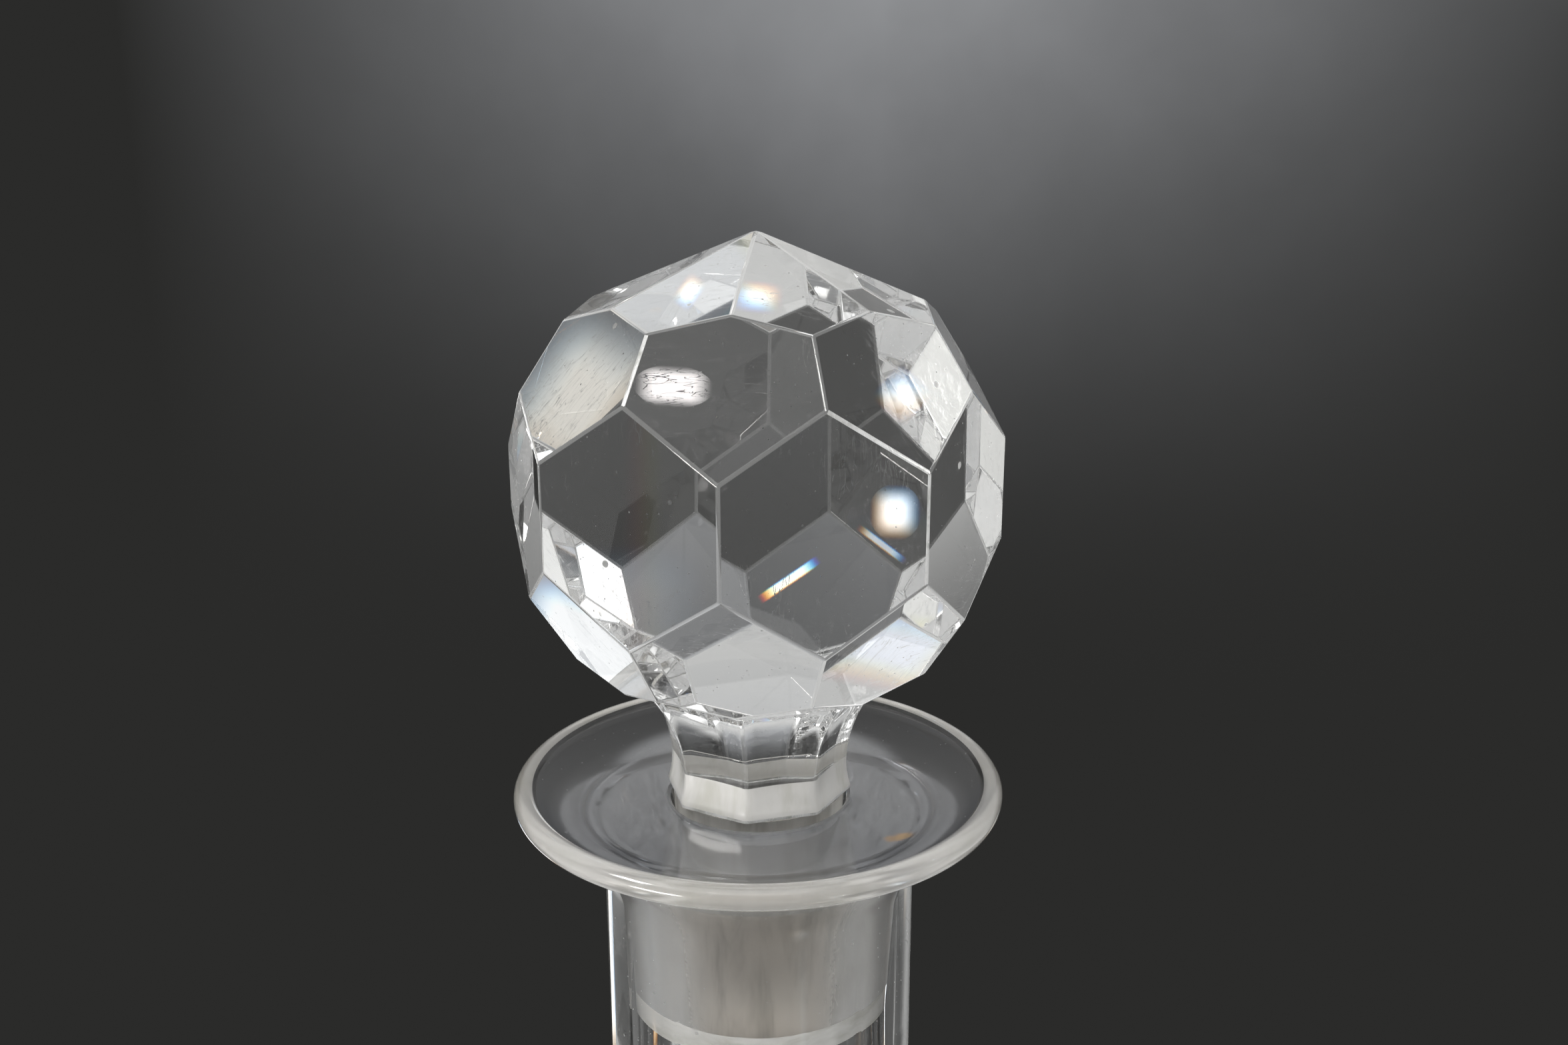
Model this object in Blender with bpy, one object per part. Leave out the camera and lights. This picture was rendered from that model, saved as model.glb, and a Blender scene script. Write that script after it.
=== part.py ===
# Cut crystal decanter: a hollow thick-walled bottle and a solid ball stopper with a ground peg.
# Metres, +Z up. The origin is the middle of the foot, on the table.
import math

import bmesh
import bpy
import numpy as np
from mathutils import Matrix, Vector

# Bottle, overall
BOTTLE_HEIGHT = 0.212
BODY_RADIUS = 0.056
WIDEST_HEIGHT = 0.082
FOOT_RADIUS = 0.044
NECK_RADIUS = 0.0175
NECK_FOOT_HEIGHT = 0.166

# Bottle, how full its curves are
LOWER_BODY_FLARE = 0.006
LOWER_BODY_RISE = 0.022
BELLY_DROP = 0.034
SHOULDER_RISE = 0.042
NECK_SWEEP = 0.036

# Bottle, hollow
BODY_WALL = 0.006
FLOOR_THICKNESS = 0.014
FLOOR_CORNER_INSET = 0.004
HOLLOW_BELLY_DROP = 0.040
HOLLOW_SHOULDER_RISE = 0.036
HOLLOW_NECK_SWEEP = 0.036

# Lip: a flared dish with a round rim
LIP_RADIUS = 0.0272
RIM_RADIUS = 0.0013
LIP_DROP = 0.0115
DISH_DEPTH = 0.0042
THROAT_EASE = 0.0014

# Foot and the star cut into its underside
FOOT_EDGE = 0.0022
FOOT_WIDTH = 0.0085
FOOT_RECESS = 0.0006
STAR_RADIUS = 0.030
STAR_DEPTH = 0.0022

# Cut bands round the body
DIAMONDS_ROUND = 32
DIAMOND_ROWS = 5
DIAMOND_DEPTH = 0.0022
DIAMOND_LOW = 0.060
DIAMOND_HIGH = 0.112
MITRE_WIDTH = 0.0030
MITRE_DEPTH = 0.0016
BASE_FLUTE_LOW = 0.0045
BASE_FLUTE_HIGH = 0.053
BASE_FLUTE_ARCH = 0.0065
SHOULDER_FLUTE_HIGH = 0.172
SHOULDER_FLUTE_ARCH = 0.0090
FLUTE_DEPTH = 0.0019

# Stopper: ball, stem and peg
FACETS_ROUND = 8
GIRDLE_DISTANCE = 0.0240
CROWN_DISTANCE = 0.02424
UPPER_DISTANCE = 0.0250
LOWER_DISTANCE = 0.0250
UNDER_DISTANCE = 0.0265
CROWN_TILT = 66.7
UPPER_TILT = 31.6
LOWER_TILT = -30.8
UNDER_TILT = -50.0
BALL_RISE = 0.0352
STEM_TOP_RISE = 0.0105
STEM_TOP_RADIUS = 0.0116
WAIST_RISE = 0.0050
WAIST_RADIUS = 0.0086
COLLAR_RADIUS = 0.0104
COLLAR_DROP = 0.0022
PEG_TOP_RADIUS = 0.0096
PEG_LENGTH = 0.0253
PEG_TAPER = 0.05
PEG_EDGE = 0.0006

# Clearance between the ground peg and its ground seat, and how far the seat runs past the peg
SEAT_GAP = 0.0003
SEAT_OVERRUN = 0.0015

# Mesh density
COLUMNS = 2 * DIAMONDS_ROUND
FLUTES_ROUND = DIAMONDS_ROUND // 2
PEG_SIDES = 48
SHARP_ANGLE = math.radians(24)

# Heights that follow from the sizes above
COLLAR_HEIGHT = BOTTLE_HEIGHT - COLLAR_DROP
SEAT_FOOT_HEIGHT = COLLAR_HEIGHT - PEG_LENGTH - SEAT_OVERRUN
HOLLOW_NECK_HEIGHT = min(NECK_FOOT_HEIGHT, SEAT_FOOT_HEIGHT - SEAT_OVERRUN)


def clear_scene():
    for obj in list(bpy.data.objects):
        bpy.data.objects.remove(obj, do_unlink=True)


def crystal(name):
    material = bpy.data.materials.new(name)
    material.use_nodes = True
    shader = material.node_tree.nodes["Principled BSDF"]
    shader.inputs["Base Color"].default_value = (0.95, 0.96, 0.96, 1.0)
    shader.inputs["Roughness"].default_value = 0.02
    shader.inputs["Metallic"].default_value = 0.0
    shader.inputs["Transmission Weight"].default_value = 1.0
    shader.inputs["IOR"].default_value = 1.545
    return material


def add_object(name, bm, material=None):
    mesh = bpy.data.meshes.new(name)
    bmesh.ops.recalc_face_normals(bm, faces=bm.faces[:])
    bm.to_mesh(mesh)
    bm.free()
    mesh.shade_smooth()
    mesh.set_sharp_from_angle(angle=SHARP_ANGLE)
    obj = bpy.data.objects.new(name, mesh)
    bpy.context.scene.collection.objects.link(obj)
    if material:
        mesh.materials.append(material)
    return obj


def bezier(start, handle_a, handle_b, end, count):
    points = []
    for t in np.linspace(0.0, 1.0, count):
        u = 1.0 - t
        weights = (u ** 3, 3 * u * u * t, 3 * u * t * t, t ** 3)
        corners = (start, handle_a, handle_b, end)
        radius = sum(w * c[0] for w, c in zip(weights, corners))
        height = sum(w * c[1] for w, c in zip(weights, corners))
        points.append((radius, height))
    return points


def peg_radius(height):
    return PEG_TOP_RADIUS - PEG_TAPER * (COLLAR_HEIGHT - height)


def body_curve():
    foot = (FOOT_RADIUS, FOOT_EDGE)
    widest = (BODY_RADIUS, WIDEST_HEIGHT)
    neck = (NECK_RADIUS, NECK_FOOT_HEIGHT)
    lower = bezier(
        foot,
        (FOOT_RADIUS + LOWER_BODY_FLARE, FOOT_EDGE + LOWER_BODY_RISE),
        (BODY_RADIUS, WIDEST_HEIGHT - BELLY_DROP),
        widest,
        60,
    )
    upper = bezier(
        widest,
        (BODY_RADIUS, WIDEST_HEIGHT + SHOULDER_RISE),
        (NECK_RADIUS, NECK_FOOT_HEIGHT - NECK_SWEEP),
        neck,
        60,
    )
    return lower + upper[1:]


BODY_CURVE = body_curve()
BODY_CURVE_RADII = [point[0] for point in BODY_CURVE]
BODY_CURVE_HEIGHTS = [point[1] for point in BODY_CURVE]


def body_radius(height):
    return float(np.interp(height, BODY_CURVE_HEIGHTS, BODY_CURVE_RADII))


# A ring is one list of (radius, height) points, one for each column round the bottle.
def round_ring(radius, height):
    return [(radius, height)] * COLUMNS


def flute_offset(column):
    # -1 and 1 on the ridges between flutes, 0 in the middle of a flute
    per_flute = COLUMNS / FLUTES_ROUND
    return (column % per_flute) / per_flute * 2.0 - 1.0


def fluted_ring(share, low, high, arch, run_out):
    # share goes from 0 at the low end of the flutes to 1 on their arched upper ends
    ring = []
    for column in range(COLUMNS):
        offset = flute_offset(column)
        top = high - arch * offset * offset
        height = low + share * (top - low)
        radius = body_radius(height)
        fade = max(0.0, (share - run_out) / (1.0 - run_out))
        depth = FLUTE_DEPTH * radius / BODY_RADIUS
        depth *= (1.0 - offset * offset) * (1.0 - fade * fade)
        ring.append((radius - depth, height))
    return ring


def fluted_rings(shares, low, high, arch, run_out):
    return [fluted_ring(share, low, high, arch, run_out) for share in shares]


def mitre_rings(middle):
    # the V groove that borders a band, from its lower edge to its upper edge
    low = middle - MITRE_WIDTH / 2
    high = middle + MITRE_WIDTH / 2
    return [
        round_ring(body_radius(low), low),
        round_ring(body_radius(middle) - MITRE_DEPTH, middle),
        round_ring(body_radius(high), high),
    ]


def is_valley(column, row):
    return (column + row) % 2 == 0


def diamond_rings():
    rings = []
    rows = 2 * DIAMOND_ROWS
    for row in range(rows + 1):
        height = DIAMOND_LOW + (DIAMOND_HIGH - DIAMOND_LOW) * row / rows
        outer = body_radius(height)
        valley = outer - DIAMOND_DEPTH
        ring = [(valley if is_valley(c, row) else outer, height) for c in range(COLUMNS)]
        rings.append(ring)
    return rings


def star_rings():
    # rays cut on the even columns, running out at their tips; the ridges between them stand lower near the middle
    rings = []
    for share in (0.14, 0.45, 0.75, 1.0):
        ray = STAR_DEPTH * min(1.0, (1.0 - share) / 0.6)
        ridge = max(0.0, ray - STAR_DEPTH * share)
        radius = STAR_RADIUS * share
        heights = (FOOT_RECESS + ray, FOOT_RECESS + ridge)
        rings.append([(radius, heights[c % 2]) for c in range(COLUMNS)])
    return rings


def foot_rings():
    edge = FOOT_RADIUS - FOOT_EDGE
    inner = edge - FOOT_WIDTH
    return [
        round_ring(inner - FOOT_RECESS, FOOT_RECESS),
        round_ring(inner, 0.0),
        round_ring(edge, 0.0),
        round_ring(FOOT_RADIUS - FOOT_EDGE * 0.3, FOOT_EDGE * 0.35),
    ]


def lip_rings():
    rim = (LIP_RADIUS - RIM_RADIUS, BOTTLE_HEIGHT - RIM_RADIUS)
    under = bezier(
        (NECK_RADIUS, BOTTLE_HEIGHT - LIP_DROP),
        (NECK_RADIUS, BOTTLE_HEIGHT - LIP_DROP * 0.55),
        (rim[0] - LIP_DROP * 0.4, rim[1] - RIM_RADIUS * 1.5),
        (rim[0], rim[1] - RIM_RADIUS),
        6,
    )
    bead = []
    for angle in (-40, 5, 50, 95, 140):
        turn = math.radians(angle)
        bead.append((rim[0] + RIM_RADIUS * math.cos(turn), rim[1] + RIM_RADIUS * math.sin(turn)))
    throat = (seat_radius(BOTTLE_HEIGHT - DISH_DEPTH) + THROAT_EASE, BOTTLE_HEIGHT - DISH_DEPTH)
    edge = (rim[0] - RIM_RADIUS, rim[1] - RIM_RADIUS * 0.4)
    dish = bezier(
        edge,
        (edge[0] - RIM_RADIUS * 1.5, edge[1] - RIM_RADIUS * 0.7),
        (throat[0] + LIP_DROP * 0.4, throat[1] + RIM_RADIUS * 0.4),
        throat,
        5,
    )
    return [round_ring(*point) for point in under + bead + dish]


def seat_radius(height):
    return peg_radius(height) + SEAT_GAP


def hollow_rings():
    seat_top = BOTTLE_HEIGHT - DISH_DEPTH - THROAT_EASE
    bore = seat_radius(SEAT_FOOT_HEIGHT)
    inner = BODY_RADIUS - BODY_WALL
    upper = bezier(
        (bore, HOLLOW_NECK_HEIGHT),
        (bore, HOLLOW_NECK_HEIGHT - HOLLOW_NECK_SWEEP),
        (inner, WIDEST_HEIGHT + HOLLOW_SHOULDER_RISE),
        (inner, WIDEST_HEIGHT),
        8,
    )
    lower = bezier(
        (inner, WIDEST_HEIGHT),
        (inner, WIDEST_HEIGHT - HOLLOW_BELLY_DROP),
        (inner - FLOOR_CORNER_INSET, FLOOR_THICKNESS),
        (0.0, FLOOR_THICKNESS),
        8,
    )
    points = [
        (seat_radius(seat_top) + THROAT_EASE * 0.3, seat_top + THROAT_EASE * 0.3),
        (seat_radius(seat_top - THROAT_EASE), seat_top - THROAT_EASE),
        (bore, SEAT_FOOT_HEIGHT),
    ]
    points += upper + lower[1:-1]
    return [round_ring(*point) for point in points]


def ring_verts(bm, ring):
    verts = []
    for column, (radius, height) in enumerate(ring):
        turn = 2 * math.pi * column / COLUMNS
        verts.append(bm.verts.new((radius * math.sin(turn), -radius * math.cos(turn), height)))
    return verts


def skin(bm, below, above, first_row=None):
    # joins two rings with quads, or along the valleys of the diamonds with triangles
    for column in range(COLUMNS):
        following = (column + 1) % COLUMNS
        a, b, c, d = below[column], below[following], above[following], above[column]
        if first_row is None:
            bm.faces.new((a, b, c, d))
        elif is_valley(column, first_row):
            bm.faces.new((a, b, c))
            bm.faces.new((a, c, d))
        else:
            bm.faces.new((a, b, d))
            bm.faces.new((b, c, d))


def fan(bm, ring, height):
    middle = bm.verts.new((0.0, 0.0, height))
    for column in range(COLUMNS):
        bm.faces.new((middle, ring[column], ring[(column + 1) % COLUMNS]))


def build_bottle():
    mitre_low = DIAMOND_LOW - MITRE_WIDTH * 0.7
    mitre_high = DIAMOND_HIGH + MITRE_WIDTH * 0.7
    shoulder_low = mitre_high + MITRE_WIDTH * 0.9
    base_flutes = fluted_rings(
        (0.0, 0.25, 0.5, 0.75, 0.9, 1.0), BASE_FLUTE_LOW, BASE_FLUTE_HIGH, BASE_FLUTE_ARCH, 0.55
    )
    shoulder_flutes = fluted_rings(
        (0.0, 0.15, 0.3, 0.45, 0.6, 0.8, 0.92, 1.0),
        shoulder_low,
        SHOULDER_FLUTE_HIGH,
        SHOULDER_FLUTE_ARCH,
        0.5,
    )
    diamonds = diamond_rings()
    below = star_rings() + foot_rings() + base_flutes + mitre_rings(mitre_low)
    above = mitre_rings(mitre_high) + shoulder_flutes + lip_rings() + hollow_rings()
    first_diamond = len(below)

    bm = bmesh.new()
    rings = [ring_verts(bm, ring) for ring in below + diamonds + above]
    for index in range(len(rings) - 1):
        row = index - first_diamond
        in_diamonds = 0 <= row < len(diamonds) - 1
        skin(bm, rings[index], rings[index + 1], row if in_diamonds else None)
    fan(bm, rings[0], FOOT_RECESS + STAR_DEPTH)
    fan(bm, rings[-1], FLOOR_THICKNESS)
    return add_object("bottle", bm, crystal("bottle_crystal"))


def cut_facets(bm, distance, tilt, half_step):
    # one row of flat facets, each a plane at its distance from the middle of the ball
    rise = math.radians(tilt)
    for index in range(FACETS_ROUND):
        turn = 2 * math.pi * (index + 0.5 * half_step) / FACETS_ROUND
        normal = Vector((math.sin(turn) * math.cos(rise), -math.cos(turn) * math.cos(rise), math.sin(rise)))
        geometry = bm.verts[:] + bm.edges[:] + bm.faces[:]
        cut = bmesh.ops.bisect_plane(
            bm, geom=geometry, dist=1e-7, plane_co=normal * distance, plane_no=normal, clear_outer=True
        )
        rim = [item for item in cut["geom_cut"] if isinstance(item, bmesh.types.BMEdge)]
        if rim:
            bmesh.ops.contextual_create(bm, geom=rim)


def ball_blank():
    bm = bmesh.new()
    bmesh.ops.create_cube(bm, size=6 * max(GIRDLE_DISTANCE, UPPER_DISTANCE, LOWER_DISTANCE))
    cut_facets(bm, GIRDLE_DISTANCE, 0.0, 1)
    cut_facets(bm, UPPER_DISTANCE, UPPER_TILT, 0)
    cut_facets(bm, LOWER_DISTANCE, LOWER_TILT, 0)
    cut_facets(bm, CROWN_DISTANCE, CROWN_TILT, 1)
    cut_facets(bm, UNDER_DISTANCE, UNDER_TILT, 1)
    bmesh.ops.bisect_plane(
        bm,
        geom=bm.verts[:] + bm.edges[:] + bm.faces[:],
        plane_co=(0.0, 0.0, STEM_TOP_RISE - BALL_RISE),
        plane_no=(0.0, 0.0, -1.0),
        clear_outer=True,
    )
    bmesh.ops.holes_fill(bm, edges=bm.edges[:])
    bmesh.ops.translate(bm, verts=bm.verts[:], vec=(0.0, 0.0, BALL_RISE))
    return bm


def stem_radius(rise):
    if rise < WAIST_RISE:
        share = (WAIST_RISE - rise) / WAIST_RISE
        return WAIST_RADIUS + (COLLAR_RADIUS - WAIST_RADIUS) * share * share
    share = (rise - WAIST_RISE) / (STEM_TOP_RISE - WAIST_RISE)
    return WAIST_RADIUS + (STEM_TOP_RADIUS - WAIST_RADIUS) * share * share


def stem_blank():
    # an upright with one flat hollow flute for each facet, corners facing the middles of the ball's lower facets
    bm = bmesh.new()
    steps = 8
    loops = []
    for step in range(steps + 1):
        rise = STEM_TOP_RISE * 1.04 * step / steps
        circle = bmesh.ops.create_circle(
            bm,
            segments=FACETS_ROUND,
            radius=stem_radius(rise),
            matrix=Matrix.Translation((0.0, 0.0, rise)) @ Matrix.Rotation(math.radians(90), 4, "Z"),
        )
        verts = circle["verts"]
        loops.append({edge for vert in verts for edge in vert.link_edges})
    for lower, upper in zip(loops, loops[1:]):
        bmesh.ops.bridge_loops(bm, edges=list(lower | upper))
    bmesh.ops.holes_fill(bm, edges=bm.edges[:])
    return bm


def peg_blank():
    # turned about its own axis, with a short spigot that runs up inside the stem
    core = WAIST_RADIUS * 0.8
    foot = PEG_TOP_RADIUS - PEG_TAPER * PEG_LENGTH
    bed = SEAT_GAP * 0.5
    profile = [
        (0.0, WAIST_RISE),
        (core, WAIST_RISE),
        (core, bed),
        (PEG_TOP_RADIUS, bed),
        (PEG_TOP_RADIUS - PEG_TAPER * PEG_LENGTH * 0.5, -PEG_LENGTH * 0.5),
        (foot + PEG_TAPER * PEG_EDGE, PEG_EDGE - PEG_LENGTH),
        (foot - PEG_EDGE, -PEG_LENGTH),
        (0.0, -PEG_LENGTH),
    ]
    bm = bmesh.new()
    verts = [bm.verts.new((radius, 0.0, height)) for radius, height in profile]
    edges = [bm.edges.new(pair) for pair in zip(verts, verts[1:])]
    bmesh.ops.spin(
        bm,
        geom=verts + edges,
        cent=(0.0, 0.0, 0.0),
        axis=(0.0, 0.0, 1.0),
        angle=2 * math.pi,
        steps=PEG_SIDES,
        use_merge=True,
    )
    bmesh.ops.remove_doubles(bm, verts=bm.verts[:], dist=1e-7)
    return bm


def join_blank(target, name, bm):
    blank = add_object(name, bm)
    blank.parent = target
    blank.hide_render = True
    blank.display_type = "WIRE"
    union = target.modifiers.new(name, "BOOLEAN")
    union.operation = "UNION"
    union.solver = "EXACT"
    union.object = blank


def build_stopper():
    # the stopper's origin is on the bottle's axis, under the collar, and it lifts straight up from there
    stopper = add_object("stopper", ball_blank(), crystal("stopper_crystal"))
    stopper.location = (0.0, 0.0, COLLAR_HEIGHT)
    join_blank(stopper, "stem_blank", stem_blank())
    join_blank(stopper, "peg_blank", peg_blank())
    return stopper


def main():
    clear_scene()
    build_bottle()
    build_stopper()


main()
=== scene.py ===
import math

import bmesh
import bpy
import numpy as np
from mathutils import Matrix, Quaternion, Vector


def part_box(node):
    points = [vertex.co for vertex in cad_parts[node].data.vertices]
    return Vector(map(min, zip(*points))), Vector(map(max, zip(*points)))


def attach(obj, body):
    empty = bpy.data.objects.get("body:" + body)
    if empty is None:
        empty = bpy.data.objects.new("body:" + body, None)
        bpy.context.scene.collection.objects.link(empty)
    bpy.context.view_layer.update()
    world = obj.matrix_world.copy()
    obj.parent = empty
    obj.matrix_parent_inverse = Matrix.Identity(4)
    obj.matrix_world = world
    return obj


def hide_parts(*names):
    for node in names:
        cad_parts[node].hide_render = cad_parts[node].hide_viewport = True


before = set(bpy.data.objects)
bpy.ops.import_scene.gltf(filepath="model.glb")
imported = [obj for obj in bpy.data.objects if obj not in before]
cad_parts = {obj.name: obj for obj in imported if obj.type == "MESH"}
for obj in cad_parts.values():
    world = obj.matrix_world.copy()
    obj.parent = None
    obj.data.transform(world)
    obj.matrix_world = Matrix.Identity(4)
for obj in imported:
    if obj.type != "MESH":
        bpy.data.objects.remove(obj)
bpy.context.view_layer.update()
scene = bpy.context.scene
scene.view_settings.view_transform = "Standard"
print("frame loaded:", sorted(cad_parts))

mm = 0.001

# heights that both pieces share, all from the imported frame
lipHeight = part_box("bottle")[1].z
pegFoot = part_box("stopper")[0].z


# small helpers for nodes

nodeGrid = {"columns": 8, "step": 240}   # nodes are laid out in rows, in the order they are added


def feed(tree, socket, value):
    # a socket takes a constant, or what another socket gives
    if isinstance(value, bpy.types.NodeSocket):
        tree.links.new(value, socket)
    else:
        socket.default_value = value


def addNode(tree, kind, inputs, **settings):
    row, column = divmod(len(tree.nodes), nodeGrid["columns"])
    node = tree.nodes.new(kind)
    node.location = (column * nodeGrid["step"], -row * nodeGrid["step"])
    for key, value in settings.items():
        setattr(node, key, value)
    for key, value in inputs.items():
        feed(tree, node.inputs[key], value)
    return node


def calc(tree, operation, *values, clamp=False):
    inputs = dict(enumerate(values))
    return addNode(tree, "ShaderNodeMath", inputs, operation=operation, use_clamp=clamp).outputs[0]


def lengthOf(tree, vector):
    return addNode(tree, "ShaderNodeVectorMath", {0: vector}, operation="LENGTH").outputs["Value"]


def noise(tree, vector, **values):
    return addNode(tree, "ShaderNodeTexNoise", {"Vector": vector, **values}).outputs["Fac"]


def ramp(tree, value, low, high, down=False, shape="SMOOTHSTEP"):
    # goes from 0 to 1 between two limits, or from 1 to 0
    inputs = {"Value": value, "From Min": low, "From Max": high}
    if down:
        inputs.update({"To Min": 1.0, "To Max": 0.0})
    return addNode(tree, "ShaderNodeMapRange", inputs, interpolation_type=shape).outputs["Result"]


def blend(tree, factor, first, second):
    inputs = {"Factor": factor, "A": first, "B": second}
    return addNode(tree, "ShaderNodeMix", inputs, data_type="RGBA").outputs["Result"]


def newGroup(name, amounts, output, kind="NodeSocketFloat"):
    # a shader group that takes a place and a few named amounts, and gives one output
    group = bpy.data.node_groups.new(name, "ShaderNodeTree")
    group.interface.new_socket("Vector", in_out="INPUT", socket_type="NodeSocketVector")
    for label, value in amounts.items():
        socket = group.interface.new_socket(label, in_out="INPUT", socket_type="NodeSocketFloat")
        socket.default_value = value
    group.interface.new_socket(output, in_out="OUTPUT", socket_type=kind)
    start = addNode(group, "NodeGroupInput", {})
    end = addNode(group, "NodeGroupOutput", {})
    return group, start.outputs, end.inputs


def placeGroup(tree, group, vector, amounts):
    return addNode(tree, "ShaderNodeGroup", {"Vector": vector, **amounts}, node_tree=group).outputs[0]


# surface marks shared by all the finishes of the crystal

marks = {
    "specks": {"Spacing": 430.0, "Share": 0.10},   # cells per metre, and the share of them with a speck
    "dust": {"Spacing": 1700.0, "Share": 0.22},
    "speckSize": 0.24,           # of the largest speck, in cells
    "speckCore": 0.3,            # share of a speck inside its soft edge
    "smudges": {"Scale": 90.0, "Cover": 0.5},
    "smudgeEdge": 0.22,
    "streakFineness": 7.0,       # streaks to each cloud of a smudge
    "scratches": {"Scale": 130.0, "Amount": 0.5},
    "scratchTurns": ((0.3, 0.9, 0.2), (1.2, -0.4, 0.7), (-0.8, 0.5, 1.9)),
    "scratchStretch": (1.0, 14.0, 1.0),
    "scratchWidth": 0.004,
    "scratchPatches": 60.0,      # patches per metre that hold scratches or none
}


def makeSpecks():
    # dust and tiny pits: small round spots, most cells of the pattern left empty
    group, start, end = newGroup("dustSpecks", marks["specks"], "Specks")
    inputs = {"Vector": start["Vector"], "Scale": start["Spacing"]}
    cells = addNode(group, "ShaderNodeTexVoronoi", inputs, feature="F1").outputs
    tone = addNode(group, "ShaderNodeSeparateColor", {"Color": cells["Color"]}).outputs
    kept = calc(group, "LESS_THAN", tone["Red"], start["Share"])
    size = calc(group, "MULTIPLY", tone["Green"], marks["speckSize"])
    reach = calc(group, "DIVIDE", cells["Distance"], size)
    spot = ramp(group, reach, marks["speckCore"], 1.0, down=True)
    feed(group, end["Specks"], calc(group, "MULTIPLY", spot, kept))
    return group


def makeSmudges():
    # handling marks: broad soft clouds broken by a finer streak
    group, start, end = newGroup("handlingSmudges", marks["smudges"], "Smudge")
    place, scale, cover = start["Vector"], start["Scale"], start["Cover"]
    clouds = noise(group, place, Scale=scale, Detail=5.0, Roughness=0.6, Distortion=0.4)
    fine = calc(group, "MULTIPLY", scale, marks["streakFineness"])
    streaks = noise(group, place, Scale=fine, Detail=3.0, Roughness=0.7, Distortion=1.5)
    ease = ramp(group, clouds, cover, calc(group, "ADD", cover, marks["smudgeEdge"]))
    feed(group, end["Smudge"], calc(group, "MULTIPLY", ease, streaks))
    return group


def makeScratches():
    # hairline marks from polishing and washing, in three crossing directions
    group, start, end = newGroup("hairScratches", marks["scratches"], "Scratches")
    place = start["Vector"]
    total = 0.0
    for turn in marks["scratchTurns"]:
        inputs = {"Vector": place, "Rotation": turn, "Scale": marks["scratchStretch"]}
        spin = addNode(group, "ShaderNodeMapping", inputs).outputs["Vector"]
        grain = noise(group, spin, Scale=start["Scale"], Detail=2.0, Roughness=0.5, Distortion=0.1)
        offset = calc(group, "ABSOLUTE", calc(group, "SUBTRACT", grain, 0.5))
        total = calc(group, "MAXIMUM", total, calc(group, "LESS_THAN", offset, marks["scratchWidth"]))
    patches = noise(group, place, Scale=marks["scratchPatches"], Detail=2.0)
    held = calc(group, "GREATER_THAN", patches, calc(group, "SUBTRACT", 1.0, start["Amount"]))
    feed(group, end["Scratches"], calc(group, "MULTIPLY", total, held))
    return group


specksGroup = makeSpecks()
smudgesGroup = makeSmudges()
scratchesGroup = makeScratches()


# crystal, in a finish for each way it is cut, ground or worn; some finishes are whitened or darkened as
# painted light

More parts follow.
